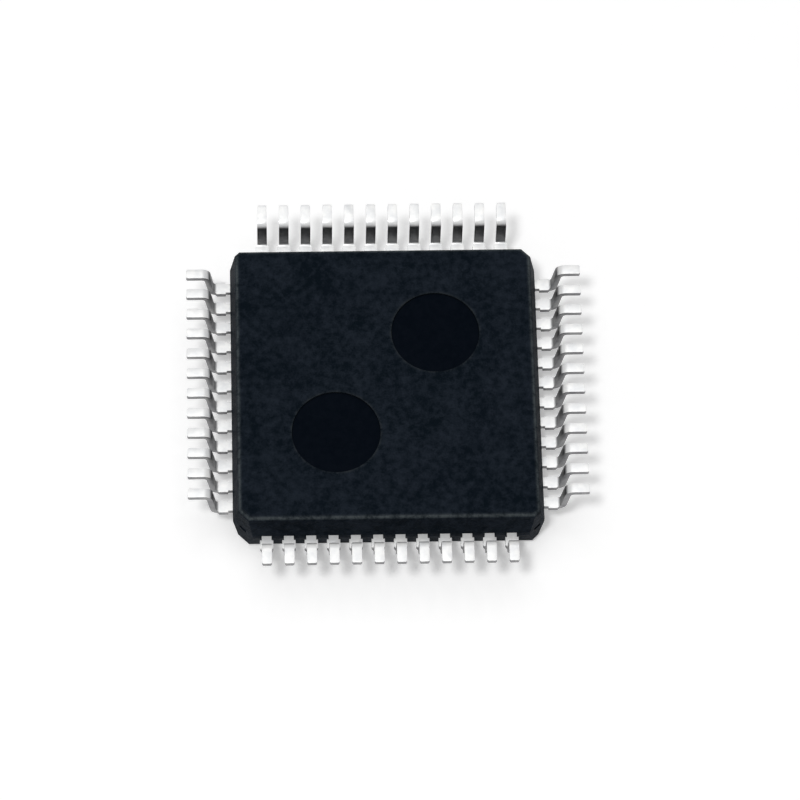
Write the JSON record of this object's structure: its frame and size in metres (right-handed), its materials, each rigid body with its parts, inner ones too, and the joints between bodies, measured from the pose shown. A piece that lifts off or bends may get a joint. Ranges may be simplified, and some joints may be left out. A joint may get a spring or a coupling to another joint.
{
  "type": "quad flat pack chip",
  "caption": "Square low-profile quad flat pack chip lying on its marked face, with gull-wing solder leads on all four sides and a die wired to them inside.",
  "frame": {"origin": "centre of the marked face, which the chip lies on; the solder feet point up", "axes": "+Z from the marked face to the foot side, +X to the right and +Y to the back; the corner with the pin 1 dimple is at -X, -Y"},
  "size_m": [0.009, 0.009, 0.0015],
  "materials": {
    "mould_compound": "black epoxy mould compound with a fine spark-eroded texture, smooth in the two ejector marks",
    "tinned_lead": "matte tin plating on a copper alloy lead frame",
    "pad_copper": "bare copper alloy",
    "die_glue": "silver-filled epoxy",
    "silicon": "polished silicon",
    "bond_gold": "drawn gold wire"
  },
  "bodies": {
    "root": {"mold_body": "mould_compound", "lead_01": "tinned_lead", "lead_02": "tinned_lead", "lead_03": "tinned_lead", "lead_04": "tinned_lead", "lead_05": "tinned_lead", "lead_06": "tinned_lead", "lead_07": "tinned_lead", "lead_08": "tinned_lead", "lead_09": "tinned_lead", "lead_10": "tinned_lead", "lead_11": "tinned_lead", "lead_12": "tinned_lead", "lead_13": "tinned_lead", "lead_14": "tinned_lead", "lead_15": "tinned_lead", "lead_16": "tinned_lead", "lead_17": "tinned_lead", "lead_18": "tinned_lead", "lead_19": "tinned_lead", "lead_20": "tinned_lead", "lead_21": "tinned_lead", "lead_22": "tinned_lead", "lead_23": "tinned_lead", "lead_24": "tinned_lead", "lead_25": "tinned_lead", "lead_26": "tinned_lead", "lead_27": "tinned_lead", "lead_28": "tinned_lead", "lead_29": "tinned_lead", "lead_30": "tinned_lead", "lead_31": "tinned_lead", "lead_32": "tinned_lead", "lead_33": "tinned_lead", "lead_34": "tinned_lead", "lead_35": "tinned_lead", "lead_36": "tinned_lead", "lead_37": "tinned_lead", "lead_38": "tinned_lead", "lead_39": "tinned_lead", "lead_40": "tinned_lead", "lead_41": "tinned_lead", "lead_42": "tinned_lead", "lead_43": "tinned_lead", "lead_44": "tinned_lead", "lead_45": "tinned_lead", "lead_46": "tinned_lead", "lead_47": "tinned_lead", "lead_48": "tinned_lead", "die_pad": "pad_copper", "die_attach": "die_glue", "silicon_die": "silicon", "bond_wires": "bond_gold"}
  },
  "joints": []
}
